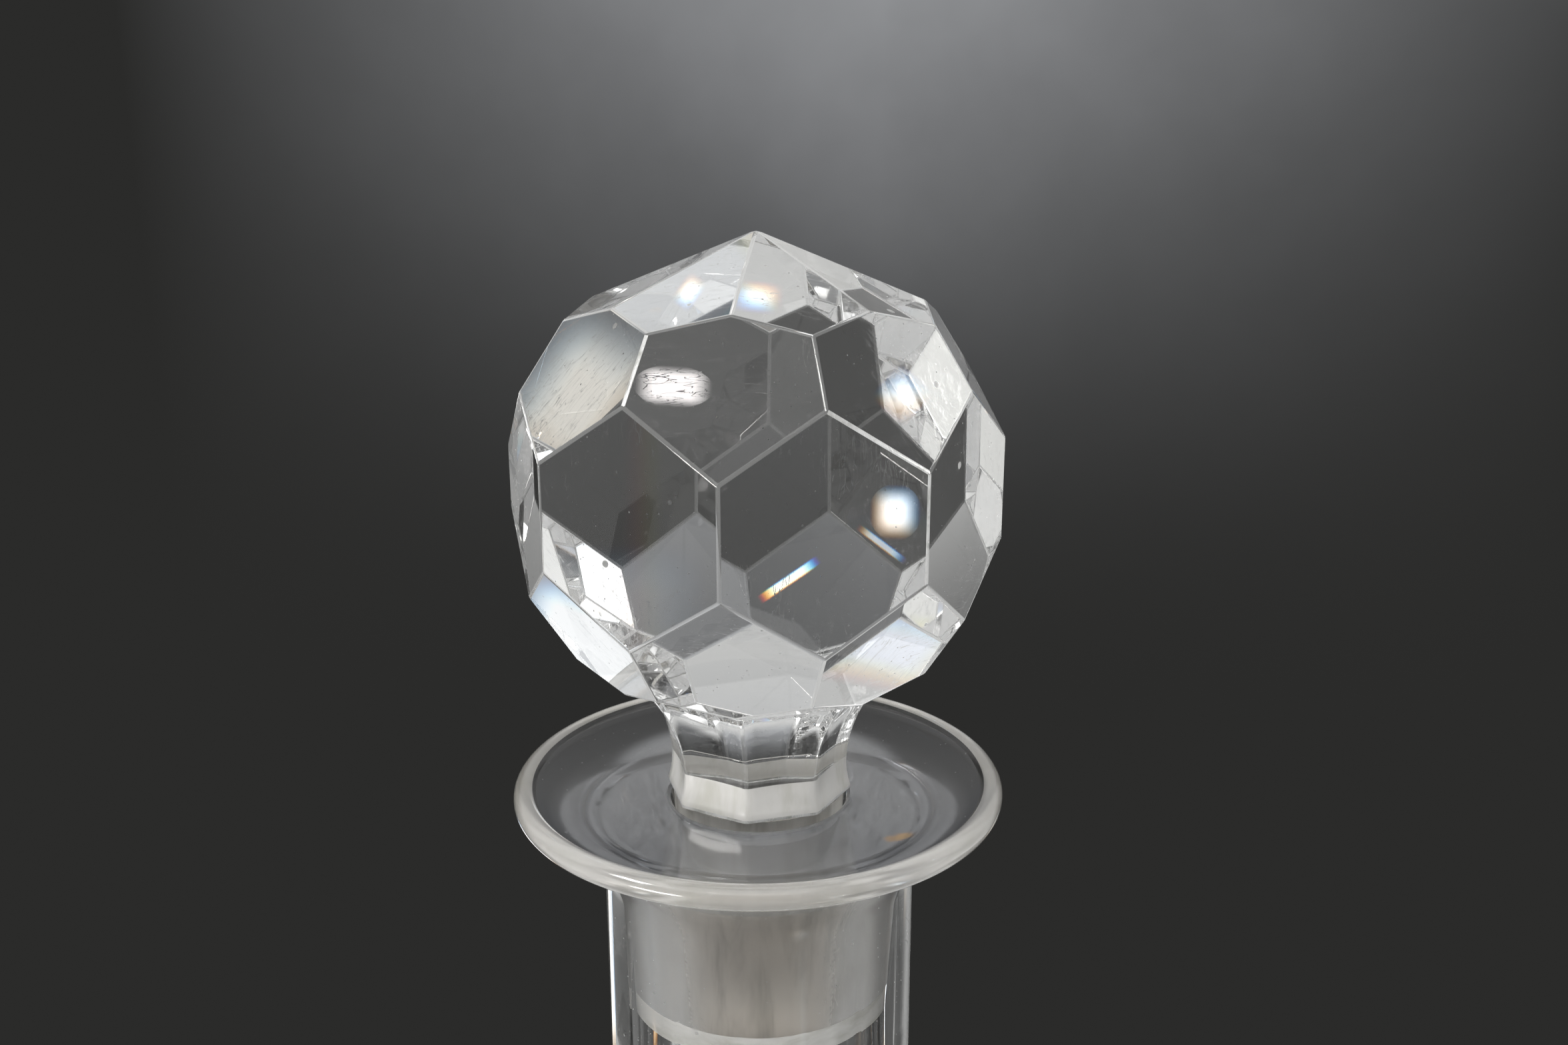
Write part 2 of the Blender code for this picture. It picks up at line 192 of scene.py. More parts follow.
crystal = {
    "ior": 1.545,
    "tint": (0.985, 0.99, 0.985, 1.0),
    "warmTint": (0.95, 0.92, 0.87, 1.0),   # worn and ground glass holds a little grime; on the worn rim this pale colour is also painted light, standing in for the light its rounded bead gathers
    # pale colour of the satin peg, and painted light on the collar band and the seat's foot, where it
    # stands in for light caught there
    "paleTint": (0.98, 0.965, 0.935, 1.0),
    "groundTint": (0.95, 0.895, 0.83, 1.0),
    "dishShadeTint": (0.10, 0.103, 0.113, 1.0),   # painted shade: a dark tint that darkens the dish, in place of the shade seen there
    "finishes": {
        # roughness, smudge, speck and scratch amounts, wave scale, wave height, clear share, gloss, tint
        "polishedCrystal": (0.004, 0.035, 0.70, 0.20, 55.0, 0.003 * mm, 1.0, 0.0, "tint"),
        # partly painted highlight: worn rounded edges, with a milky share that whitens them to stand in for
        # their bright lines
        "wornArrisSheen": (0.025, 0.05, 0.20, 0.10, 700.0, 0.001 * mm, 0.86, 0.0, "tint"),
        # painted highlight: a milky white finish that stands in for bright glints on a few arrises and on
        # the collar's foot
        "glintArris": (0.20, 0.10, 0.20, 0.10, 700.0, 0.002 * mm, 0.25, 0.9, "tint"),
        # partly painted light: a worn rim whose pale diffuse share stands in for the light its bead gathers
        "wornRimSheen": (0.20, 0.06, 0.05, 0.05, 90.0, 0.002 * mm, 0.73, 1.0, "warmTint"),
        # partly painted shade: a slightly rough dusty dish, with a dark tint that stands in for its shade
        "dustyShadedDish": (0.12, 0.06, 0.10, 0.10, 90.0, 0.0003 * mm, 1.0, 0.0, "dishShadeTint"),
        # partly painted light: a satin collar band, nearly opaque and pale so that it stands in for the
        # light the collar catches
        "satinCollarSheen": (0.18, 0.06, 0.05, 0.05, 90.0, 0.002 * mm, 0.1, 1.0, "paleTint"),
        "satinPeg": (0.40, 0.10, 0.10, 0.10, 90.0, 0.002 * mm, 0.85, 0.0, "paleTint"),
        "groundCrystal": (0.45, 0.16, 0.20, 0.10, 900.0, 0.01 * mm, 0.95, 0.0, "groundTint"),
        # painted highlight: a white band at the seat's foot in place of the light caught there
        "seatFootHighlight": (0.12, 0.06, 0.05, 0.05, 90.0, 0.002 * mm, 0.15, 1.0, "paleTint"),
    },
    "polishedWaves": 1.0,        # detail of the waves: smooth where polished, finer elsewhere
    "otherWaves": 4.0,
    "glossRoughness": 0.04,      # of the melted skin over a worn edge
    "grime": {                   # clouds per metre round and up the piece, and how dark they make it
        "glintArris": (420.0, 420.0, 0.55),
        "wornRimSheen": (70.0, 70.0, 0.80),
        "satinCollarSheen": (260.0, 90.0, 0.82),
        "satinPeg": (330.0, 40.0, 0.50),
        "groundCrystal": (330.0, 40.0, 0.50),
        "seatFootHighlight": (150.0, 400.0, 0.72),
    },
    "grimeEdge": (0.42, 0.70),
    "grimeWarmth": 0.95,         # share of the blue that grime lets by
    "stained": "dustyShadedDish",      # finish with a dried drip in it
    "stainColor": (0.36, 0.15, 0.035, 1.0),
    "stainPlace": (16.3 * mm, -11.4 * mm, 210.4 * mm),
    "stainTurn": 0.45,
    "stainReach": (2.3 * mm, 1.1 * mm, 3.0 * mm),
    "stainGrain": 900.0,
    "stainEdge": (0.9, 1.5),
}


def addStain(tree, place, tint):
    # one small dried drip: an oval with a wandering edge
    inputs = {
        "Vector": place,
        "Location": crystal["stainPlace"],
        "Rotation": (0.0, 0.0, crystal["stainTurn"]),
        "Scale": crystal["stainReach"],
    }
    spot = addNode(tree, "ShaderNodeMapping", inputs, vector_type="TEXTURE").outputs["Vector"]
    edge = noise(tree, place, Scale=crystal["stainGrain"], Detail=3.0)
    uneven = calc(tree, "ADD", lengthOf(tree, spot), edge)
    return blend(tree, ramp(tree, uneven, *crystal["stainEdge"], down=True), tint, crystal["stainColor"])


def addGrime(tree, place, tint, across, upward, shade):
    # old grime in clouds, drawn out into upright streaks where fewer fit up the piece than round it
    inputs = {"Vector": place, "Scale": (across, across, upward)}
    stretched = addNode(tree, "ShaderNodeMapping", inputs).outputs["Vector"]
    clouds = noise(tree, stretched, Scale=1.0, Detail=4.0, Roughness=0.6, Distortion=0.3)
    dark = (tint[0] * shade, tint[1] * shade, tint[2] * shade * crystal["grimeWarmth"], 1.0)
    return blend(tree, ramp(tree, clouds, *crystal["grimeEdge"]), tint, dark)


def makeCrystal(name):
    amounts = crystal["finishes"][name]
    roughness, smudge, speck, scratch, waveScale, waveHeight, clear, gloss, tintName = amounts
    tint = crystal[tintName]
    material = bpy.data.materials.new(name)
    material.use_nodes = True
    tree = material.node_tree
    shader = tree.nodes["Principled BSDF"]
    shader.inputs["Base Color"].default_value = tint
    shader.inputs["Metallic"].default_value = 0.0
    shader.inputs["Transmission Weight"].default_value = clear
    shader.inputs["IOR"].default_value = crystal["ior"]
    shader.inputs["Coat Weight"].default_value = gloss
    shader.inputs["Coat Roughness"].default_value = crystal["glossRoughness"]

    place = addNode(tree, "ShaderNodeTexCoord", {}).outputs["Object"]
    smudges = placeGroup(tree, smudgesGroup, place, marks["smudges"])
    specks = placeGroup(tree, specksGroup, place, marks["specks"])
    dust = placeGroup(tree, specksGroup, place, marks["dust"])
    scratches = placeGroup(tree, scratchesGroup, place, marks["scratches"])
    rough = calc(tree, "MULTIPLY", smudges, smudge)
    rough = calc(tree, "ADD", rough, calc(tree, "MULTIPLY", calc(tree, "MAXIMUM", specks, dust), speck))
    rough = calc(tree, "ADD", rough, calc(tree, "MULTIPLY", scratches, scratch))
    feed(tree, shader.inputs["Roughness"], calc(tree, "ADD", rough, roughness, clamp=True))

    detail = crystal["polishedWaves"] if name == "polishedCrystal" else crystal["otherWaves"]
    waves = noise(tree, place, Scale=waveScale, Detail=detail)
    inputs = {"Strength": 1.0, "Distance": waveHeight, "Height": waves}
    feed(tree, shader.inputs["Normal"], addNode(tree, "ShaderNodeBump", inputs).outputs["Normal"])
    if name == crystal["stained"]:
        feed(tree, shader.inputs["Base Color"], addStain(tree, place, tint))
    if name in crystal["grime"]:
        feed(tree, shader.inputs["Base Color"], addGrime(tree, place, tint, *crystal["grime"][name]))
    return material


finishes = {name: makeCrystal(name) for name in crystal["finishes"]}
print("crystal finishes made:", len(finishes))


# mesh helpers


def curve(start, handleA, handleB, end, count):
    # points (radius, height) along one smooth bend
    corners = (start, handleA, handleB, end)
    points = []
    for t in np.linspace(0.0, 1.0, count):
        u = 1.0 - t
        weights = (u ** 3, 3 * u * u * t, 3 * u * t * t, t ** 3)
        points.append(tuple(sum(w * c[i] for w, c in zip(weights, corners)) for i in (0, 1)))
    return points


def joinRings(bm, below, above):
    count = len(below)
    for column in range(count):
        following = (column + 1) % count
        bm.faces.new((below[column], below[following], above[following], above[column]))


def closeRing(bm, ring, height):
    middle = bm.verts.new((0, 0, height))
    for column in range(len(ring)):
        bm.faces.new((middle, ring[column], ring[(column + 1) % len(ring)]))


def finishMesh(name, bm, finishNames=(), sharpAngle=None):
    mesh = bpy.data.meshes.new(name)
    bmesh.ops.recalc_face_normals(bm, faces=bm.faces[:])
    bm.to_mesh(mesh)
    bm.free()
    if sharpAngle is not None:
        mesh.shade_smooth()
        mesh.set_sharp_from_angle(angle=math.radians(sharpAngle))
    for finish in finishNames:
        mesh.materials.append(finishes[finish])
    piece = bpy.data.objects.new(name, mesh)
    scene.collection.objects.link(piece)
    return piece


# stopper: a cut ball on a fluted stem, with a ground peg under its collar

stopper = {
    "finishes": (
        "polishedCrystal", "groundCrystal", "wornArrisSheen", "satinPeg", "satinCollarSheen", "glintArris",
    ),
    "facets": 8,                 # facets in each row round the ball
    "rows": [                    # tilt in degrees, distance from the ball's middle, half steps round
        (0.0, 24.0 * mm, 1),
        (31.6, 25.0 * mm, 0),
        (-30.8, 25.0 * mm, 0),
        (66.7, 24.24 * mm, 1),
        (-64.0, 24.9 * mm, 1),
    ],
    "handCut": {                 # row and place of a facet cut off the rule: degrees round, distance out
        (0, 5): (0.0, 0.93 * mm),
        (0, 6): (3.3, 0.53 * mm),
    },
    "blank": 160.0 * mm,         # side of the block that the ball is cut from
    "cutReach": 1e-7,            # points this near a cut or each other count as one
    "weldReach": 2e-6,
    "arris": 0.42 * mm,          # width of the worn edge between facets
    "arrisSteps": 4,
    "arrisSlant": 0.04,          # how far a strip of an arris may lean along it
    "glinting": [                 # arrises painted white as glints, by the row and place of the two facets beside each
        ((1, 7), (1, 0)),
        ((0, 0), (1, 1)),
        ((0, 0), (0, 1)),
    ],
    "ballRise": 34.8 * mm,       # ball's middle above the collar's underside
    "ballFootRise": 12.8 * mm,
    "stemTopRise": 13.3 * mm,
    "stemTopRadius": 13.8 * mm,  # over the corners of the eight flutes
    "stemRunIn": 1.12,           # the stem goes on this far into the ball, as a share of its rise
    "stemRings": 26,
    "waistRise": 3.2 * mm,
    "waistRadius": 9.95 * mm,
    "collarRadius": 10.6 * mm,
    "collarEdge": 0.45 * mm,     # rounding at its foot, painted white as a glint
    "collarTurn": 0.3,           # share of that rounding at its middle ring
    "collarDrop": 1.8 * mm,      # collar's underside below the lip
    "collarBand": 3.9 * mm,
    "fluteHollow": 0.22 * mm,
    "fluteSteps": 9,
    "ridgeWidth": 2.6,           # degrees of the worn ridge between flutes
    "ridgeReach": 0.03,          # share of a flute, beside its ridge, with the ridge's finish
    "pegTopRadius": 9.6 * mm,
    "pegTaper": 0.05,
    "pegEdge": 0.6 * mm,
    "pegEdgeTurns": (30, 60, 90),
    "pegStart": 0.1,             # share of the peg's length at the first ring over its rounded foot
    "pegRings": 12,
    "satinLand": 8.0 * mm,       # length of the peg above its ground joint
    "satinStop": 0.1 * mm,       # satin stops this far under the collar
    "clearFoot": 1.5 * mm,       # polished length of the peg under the joint
    "sharpAngle": 28.0,          # degrees between faces that meet in a sharp edge
}

collarHeight = lipHeight - stopper["collarDrop"]
ballHeight = collarHeight + stopper["ballRise"]
pegLength = collarHeight - pegFoot
jointTop = collarHeight - stopper["satinLand"]
jointFoot = pegFoot + stopper["clearFoot"]
facetStep = 2 * math.pi / stopper["facets"]
stopperSlot = stopper["finishes"].index


def pegRadius(height):
    return stopper["pegTopRadius"] - stopper["pegTaper"] * (collarHeight - height)


def facetNormal(tilt, turn):
    rise = math.radians(tilt)
    return Vector((math.sin(turn) * math.cos(rise), -math.cos(turn) * math.cos(rise), math.sin(rise)))


def cutFlat(bm, point, normal):
    cut = bmesh.ops.bisect_plane(
        bm,
        geom=bm.verts[:] + bm.edges[:] + bm.faces[:],
        dist=stopper["cutReach"],
        plane_co=point,
        plane_no=normal,
        clear_outer=True,
    )
    rim = [item for item in cut["geom_cut"] if isinstance(item, bmesh.types.BMEdge)]
    if rim:
        bmesh.ops.contextual_create(bm, geom=rim)


def onArris(face, first, second):
    # a strip of the rounded edge between two facets has its normal between theirs
    across = first.cross(second).normalized()
    between = (first + second).normalized()
    reach = math.cos(first.angle(second) / 2)
    return abs(face.normal.dot(across)) < stopper["arrisSlant"] and face.normal.dot(between) > reach


def makeBall():
    bm = bmesh.new()
    bmesh.ops.create_cube(bm, size=stopper["blank"])
    normals = {}
    for row, (tilt, distance, halfSteps) in enumerate(stopper["rows"]):
        for index in range(stopper["facets"]):
            swing, shift = stopper["handCut"].get((row, index), (0.0, 0.0))
            normal = facetNormal(tilt, facetStep * (index + 0.5 * halfSteps) + math.radians(swing))
            cutFlat(bm, normal * (distance + shift), normal)
            normals[row, index] = normal
    cutFlat(bm, Vector((0, 0, stopper["ballFootRise"] - stopper["ballRise"])), Vector((0, 0, -1)))
    bmesh.ops.remove_doubles(bm, verts=bm.verts[:], dist=stopper["weldReach"])
    bmesh.ops.dissolve_degenerate(bm, edges=bm.edges[:], dist=stopper["weldReach"])
    softened = bmesh.ops.bevel(
        bm,
        geom=bm.edges[:],
        offset=stopper["arris"],
        offset_type="WIDTH",
        segments=stopper["arrisSteps"],
        profile=0.5,
        affect="EDGES",
    )
    bm.normal_update()
    # painted highlight: the listed arrises get the white glint finish
    glintPairs = [(normals[first], normals[second]) for first, second in stopper["glinting"]]
    for face in softened["faces"]:
        face.smooth = True
        glinting = any(onArris(face, first, second) for first, second in glintPairs)
        face.material_index = stopperSlot("glintArris" if glinting else "wornArrisSheen")
    bmesh.ops.translate(bm, verts=bm.verts[:], vec=(0, 0, ballHeight))
    return bm


def stemRadius(rise):
    # over the corners: narrowest at the waist, out to the collar below and to the ball above
    low, top, waist = stopper["waistRise"], stopper["stemTopRise"], stopper["waistRadius"]
    if rise < low:
        return waist + (stopper["collarRadius"] - waist) * ((low - rise) / low) ** 2
    return waist + (stopper["stemTopRadius"] - waist) * ((rise - low) / (top - low)) ** 2


def stemTurns():
    # angles of the columns: evenly across each flute, with a narrow ridge between two flutes
    half = (facetStep - math.radians(stopper["ridgeWidth"])) / 2
    columnTurns = []
    for index in range(stopper["facets"]):
        for offset in np.linspace(-half, half, stopper["fluteSteps"] + 1):
            columnTurns.append((facetStep * (index + 0.5) + offset, offset / half))
    return columnTurns


def stemRing(rise, hollow, inset=0.0):
    flat = (stemRadius(rise) - inset) * math.cos(facetStep / 2)
    ring = []
    for turn, share in stemTurns():
        offset = (turn % facetStep) - facetStep / 2
        radius = flat / math.cos(offset) - hollow * (1.0 - share * share)
        ring.append((turn, radius, collarHeight + rise))
    return ring


def turnedRing(radius, height):
    return [(turn, radius, height) for turn, share in stemTurns()]


def addRing(bm, ring):
    places = [(radius * math.sin(turn), -radius * math.cos(turn), height) for turn, radius, height in ring]
    return [bm.verts.new(place) for place in places]


def makeStemAndPeg():
    edge = stopper["pegEdge"]
    rings = [turnedRing(pegRadius(pegFoot) - edge, pegFoot)]
    for degrees in stopper["pegEdgeTurns"]:
        angle = math.radians(degrees)
        radius = pegRadius(pegFoot + edge) - edge + edge * math.sin(angle)
        rings.append(turnedRing(radius, pegFoot + edge - edge * math.cos(angle)))
    for share in np.linspace(stopper["pegStart"], 1.0, stopper["pegRings"]):
        height = pegFoot + edge + (pegLength - edge) * share
        rings.append(turnedRing(pegRadius(height), height))
    collarEdge = stopper["collarEdge"]
    collarTurn = collarEdge * stopper["collarTurn"]
    rings.append(stemRing(0.0, 0.0, collarEdge))
    rings.append(stemRing(collarTurn, 0.0, collarTurn))
    stemEnd = stopper["stemTopRise"] * stopper["stemRunIn"]
    for rise in np.linspace(collarEdge, stemEnd, stopper["stemRings"]):
        fade = min(1.0, (rise - collarEdge) / stopper["waistRise"])
        rings.append(stemRing(rise, stopper["fluteHollow"] * fade))
    bm = bmesh.new()
    loops = [addRing(bm, ring) for ring in rings]
    for below, above in zip(loops, loops[1:]):
        joinRings(bm, below, above)
    closeRing(bm, loops[0], rings[0][0][2])
    closeRing(bm, loops[-1], rings[-1][0][2])
    return bm


def bakeModifiers(piece):
    graph = bpy.context.evaluated_depsgraph_get()
    baked = bpy.data.meshes.new_from_object(piece.evaluated_get(graph))
    piece.modifiers.clear()
    piece.data = baked


def makeStopper():
    piece = finishMesh("crystalStopper", makeBall(), stopper["finishes"])
    lower = finishMesh("stemAndPeg", makeStemAndPeg(), stopper["finishes"], stopper["sharpAngle"])
    union = piece.modifiers.new("join", "BOOLEAN")
    union.operation = "UNION"
    union.solver = "EXACT"
    union.object = lower
    bakeModifiers(piece)
    bpy.data.objects.remove(lower)
    mesh = piece.data
    ridge = facetStep * stopper["ridgeReach"]
    for face in mesh.polygons:
        middle = face.center
        turn = math.atan2(middle.x, -middle.y) % facetStep
        onRidge = min(turn, facetStep - turn) < ridge and middle.z < collarHeight + stopper["ballFootRise"]
        if jointFoot < middle.z < jointTop:
            face.material_index = stopperSlot("groundCrystal")
        elif jointTop <= middle.z < collarHeight - stopper["satinStop"]:
            face.material_index = stopperSlot("satinPeg")
        # painted highlight: the collar's rounded foot is whitened to stand in for its glints
        elif 0.0 < middle.z - collarHeight < stopper["collarEdge"]:
            face.material_index = stopperSlot("glintArris")
        # painted light: the band above the collar's foot is made pale
        elif collarHeight < middle.z < collarHeight + stopper["collarBand"]:
            face.material_index = stopperSlot("satinCollarSheen")
        elif middle.z > collarHeight and onRidge:
            face.material_index = stopperSlot("wornArrisSheen")
    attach(piece, "stopper")
    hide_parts("stopper")
    print("stopper made:", len(mesh.polygons), "faces")


# bottle: one thick-walled hollow piece, cut all round

bottle = {
    "finishes": ("polishedCrystal", "groundCrystal", "wornRimSheen", "dustyShadedDish", "seatFootHighlight"),
    "bodyRadius": 56.0 * mm,
    "widestHeight": 82.0 * mm,
    "footRadius": 44.0 * mm,
    "neckRadius": 17.5 * mm,
    "neckFoot": 166.0 * mm,
    "lowerFlare": 6.0 * mm,      # how far the body's curve runs on at the foot, the belly and the neck
    "lowerRise": 22.0 * mm,
    "bellyDrop": 34.0 * mm,
    "shoulderRise": 42.0 * mm,
    "neckSweep": 36.0 * mm,
    "bodySteps": 160,            # points along each half of the body's curve
    "wall": 6.0 * mm,
    "floor": 14.0 * mm,
    "floorCorner": 4.0 * mm,
    "hollowBelly": 40.0 * mm,
    "hollowShoulder": 36.0 * mm,
    "hollowNeck": 36.0 * mm,
    "hollowSteps": 40,
    "lipRadius": 27.2 * mm,
    "lipDrop": 11.5 * mm,
    "lipSteady": 0.55,           # share of that drop where the neck's line stops rising straight
    "lipFlare": 0.4,             # share of it that the underside runs flat, in from the rim
    "lipTuck": 1.5,              # how far under the rim it aims, in rim radii
    "lipSteps": 28,
    "rimRadius": 1.3 * mm,
    "rimArc": (-80.0, 150.0),    # degrees of the rounded rim, from outside to inside
    "rimSteps": 20,
    "rimInset": 1.6,             # width and depth of the worn rim with its painted pale band, in rim radii
    "rimDepth": 2.0,
    "dishDepth": 2.45 * mm,
    "dishRun": 2.0,              # how far the dish falls in from the rim, in rim radii
    "dishFall": 0.42,            # share of its fall taken there
    "dishFloor": 0.5,            # run of the dish's flatter floor, as a share of lipDrop
    "dishEase": 0.12,            # share of its fall left for that floor
    "dishSlope": 0.5,            # least upward part of a face's normal in the dish
    "dishSteps": 32,
    "throatEase": 1.0 * mm,
    "edgeTurns": (30, 60),       # degrees at the rings of a rounded edge
    "footEdge": 2.2 * mm,
    "footWidth": 8.5 * mm,
    "footRecess": 0.6 * mm,
    "starRadius": 30.0 * mm,
    "starDepth": 2.2 * mm,
    "starSteps": (0.04, 0.14, 0.25, 0.35, 0.45, 0.55, 0.65, 0.75, 0.85, 0.93, 1.0),
    "starRunOut": 0.6,           # share of a ray over which its depth runs out
    "diamonds": 32,
    "diamondRows": 5,
    "diamondDepth": 2.2 * mm,
    "diamondLow": 60.0 * mm,
    "diamondHigh": 112.0 * mm,
    "mitreWidth": 3.0 * mm,
    "mitreDepth": 1.6 * mm,
    "mitreSteps": (-1.0, -0.5, -0.06, 0.06, 0.5, 1.0),
    "mitreFlat": 0.06,           # half width of the groove's floor, as a share of its own
    "mitreSpace": 0.7,           # middle of a mitre ring to the diamonds, in mitre widths
    "shoulderSpace": 0.9,        # and to the shoulder flutes
    "baseFluteLow": 4.5 * mm,
    "baseFluteHigh": 53.0 * mm,
    "baseFluteArch": 6.5 * mm,
    "baseFluteRunOut": 0.55,     # share of a flute's height where it begins to run out
    "baseFluteRings": 26,
    "shoulderFluteHigh": 172.0 * mm,
    "shoulderFluteArch": 9.0 * mm,
    "shoulderFluteRunOut": 0.5,
    "shoulderFluteRings": 40,
    "fluteDepth": 1.9 * mm,
    "seatGap": 0.3 * mm,
    "seatOverrun": 1.5 * mm,
    "seatSkin": 0.2 * mm,        # faces this near the seat belong to it
    "seatSteps": 13,
    "footBand": 2.8 * mm,        # painted highlight: a pale band where the ground seat runs out, standing in for the bright light caught there
    "cellSteps": 4,              # mesh steps across half a diamond
    "sharpAngle": 20.0,
}

halfDiamonds = 2 * bottle["diamonds"]
columns = halfDiamonds * bottle["cellSteps"]
flutes = bottle["diamonds"] // 2
turns = np.arange(columns) * 2 * math.pi / columns
fluteOffset = (np.arange(columns) % (columns // flutes)) / (columns // flutes) * 2.0 - 1.0
seatFoot = pegFoot - bottle["seatOverrun"]
seatTop = lipHeight - bottle["dishDepth"] - bottle["throatEase"]
bandFoot = jointFoot - bottle["footBand"]
bottleSlot = bottle["finishes"].index


def outerCurve():
    foot = (bottle["footRadius"], bottle["footEdge"])
    widest = (bottle["bodyRadius"], bottle["widestHeight"])
    neck = (bottle["neckRadius"], bottle["neckFoot"])
    lower = curve(
        foot,
        (foot[0] + bottle["lowerFlare"], foot[1] + bottle["lowerRise"]),
        (widest[0], widest[1] - bottle["bellyDrop"]),
        widest,
        bottle["bodySteps"],
    )
    upper = curve(
        widest,
        (widest[0], widest[1] + bottle["shoulderRise"]),
        (neck[0], neck[1] - bottle["neckSweep"]),
        neck,
        bottle["bodySteps"],
    )
    return np.array(lower + upper[1:])


outerPoints = outerCurve()


def outerRadius(height):
    return np.interp(height, outerPoints[:, 1], outerPoints[:, 0])


def seatRadius(height):
    return pegRadius(height) + bottle["seatGap"]


def roundRing(radius, height):
    return np.full(columns, radius), np.full(columns, height)


def fluteRings(flute, low):
    high, arch, runOut = bottle[flute + "High"], bottle[flute + "Arch"], bottle[flute + "RunOut"]
    rings = []
    top = high - arch * fluteOffset ** 2
    for share in np.linspace(0.0, 1.0, bottle[flute + "Rings"]):
        height = low + share * (top - low)
        radius = outerRadius(height)
        fade = max(0.0, (share - runOut) / (1.0 - runOut))
        depth = bottle["fluteDepth"] * radius / bottle["bodyRadius"]
        rings.append((radius - depth * (1.0 - fluteOffset ** 2) * (1.0 - fade ** 2), height))
    return rings


def mitreRings(middle):
    half, flat = bottle["mitreWidth"] / 2, bottle["mitreFlat"]
    rings = []
    for share in bottle["mitreSteps"]:
        height = middle + half * share
        depth = bottle["mitreDepth"] * (1.0 - max(abs(share), flat)) / (1.0 - flat)
        rings.append(roundRing(outerRadius(height) - depth, height))
    return rings


def diamondRings():
    # pyramids between two sets of crossing grooves
    rings = []
    steps = 2 * bottle["diamondRows"] * bottle["cellSteps"]
    across = np.arange(columns) / bottle["cellSteps"]
    for step in range(steps + 1):
        up = step / bottle["cellSteps"]
        toGroove = [np.abs(value - np.round(value)) for value in ((across + up) / 2, (across - up) / 2)]
        height = bottle["diamondLow"] + (bottle["diamondHigh"] - bottle["diamondLow"]) * step / steps
        depth = bottle["diamondDepth"] * (1.0 - 2.0 * np.minimum(*toGroove))
        rings.append((outerRadius(height) - depth, np.full(columns, height)))
    return rings


def starRings():
    # rays cut in the foot's underside, running out at their tips
    rings = []
    wave = np.abs((np.arange(columns) / bottle["cellSteps"]) % 2.0 - 1.0)   # 1 in a ray, 0 on a ridge
    for share in bottle["starSteps"]:
        ray = bottle["starDepth"] * min(1.0, (1.0 - share) / bottle["starRunOut"])
        ridge = max(0.0, ray - bottle["starDepth"] * share)
        height = bottle["footRecess"] + ridge + (ray - ridge) * wave
        rings.append((np.full(columns, bottle["starRadius"] * share), height))
    return rings


def footRings():
    bend, recess = bottle["footEdge"], bottle["footRecess"]
    edge = bottle["footRadius"] - bend
    inner = edge - bottle["footWidth"]
    rings = [roundRing(inner - recess, recess), roundRing(inner, 0.0), roundRing(edge, 0.0)]
    for degrees in bottle["edgeTurns"]:
        angle = math.radians(degrees)
        rings.append(roundRing(edge + bend * math.sin(angle), bend * (1.0 - math.cos(angle))))
    return rings


def lipPoints():
    rimRadius, drop = bottle["rimRadius"], bottle["lipDrop"]
    rim = (bottle["lipRadius"] - rimRadius, lipHeight - rimRadius)
    under = curve(
        (bottle["neckRadius"], lipHeight - drop),
        (bottle["neckRadius"], lipHeight - drop * bottle["lipSteady"]),
        (rim[0] - drop * bottle["lipFlare"], rim[1] - rimRadius * bottle["lipTuck"]),
        (rim[0], rim[1] - rimRadius),
        bottle["lipSteps"],
    )
    bead = []
    for degrees in np.linspace(*bottle["rimArc"], bottle["rimSteps"]):
        angle = math.radians(degrees)
        bead.append((rim[0] + rimRadius * math.cos(angle), rim[1] + rimRadius * math.sin(angle)))
    dishFoot = lipHeight - bottle["dishDepth"]
    throat = (seatRadius(dishFoot) + bottle["throatEase"], dishFoot)
    fall = bead[-1][1] - throat[1]
    dish = curve(
        bead[-1],
        (bead[-1][0] - rimRadius * bottle["dishRun"], bead[-1][1] - fall * bottle["dishFall"]),
        (throat[0] + drop * bottle["dishFloor"], throat[1] + fall * bottle["dishEase"]),
        throat,
        bottle["dishSteps"],
    )
    return under + bead + dish[1:]


def hollowPoints():
    bore = seatRadius(seatFoot)
    inner = bottle["bodyRadius"] - bottle["wall"]
    neckEnd = min(bottle["neckFoot"], bandFoot - bottle["seatOverrun"])
    ease = bottle["throatEase"]
    points = []
    for degrees in bottle["edgeTurns"]:
        angle = math.radians(degrees)
        radius = seatRadius(seatTop) + ease * (1.0 - math.sin(angle))
        points.append((radius, seatTop + ease * math.cos(angle)))
    for height in np.linspace(seatTop, jointFoot, bottle["seatSteps"]):
        points.append((seatRadius(height), height))
    points.append((bore, bandFoot))
    upper = curve(
        (bore, neckEnd),
        (bore, neckEnd - bottle["hollowNeck"]),
        (inner, bottle["widestHeight"] + bottle["hollowShoulder"]),
        (inner, bottle["widestHeight"]),
        bottle["hollowSteps"],
    )
    lower = curve(
        (inner, bottle["widestHeight"]),
        (inner, bottle["widestHeight"] - bottle["hollowBelly"]),
        (inner - bottle["floorCorner"], bottle["floor"]),
        (0.0, bottle["floor"]),
        bottle["hollowSteps"],
    )
    return points + upper + lower[1:-1]


def bottleRing(bm, ring):
    radius, height = ring
    places = zip(radius * np.sin(turns), -radius * np.cos(turns), height)
    return [bm.verts.new(place) for place in places]


def joinDiamonds(bm, below, above, step):
    # quads are split along the grooves, as a wheel would leave them
    row = step // bottle["cellSteps"]
    for column in range(columns):
        following = (column + 1) % columns
        a, b, c, d = below[column], below[following], above[following], above[column]
        if (column // bottle["cellSteps"] + row) % 2 == 0:
            bm.faces.new((a, b, c))
            bm.faces.new((a, c, d))
        else:
            bm.faces.new((a, b, d))
            bm.faces.new((b, c, d))


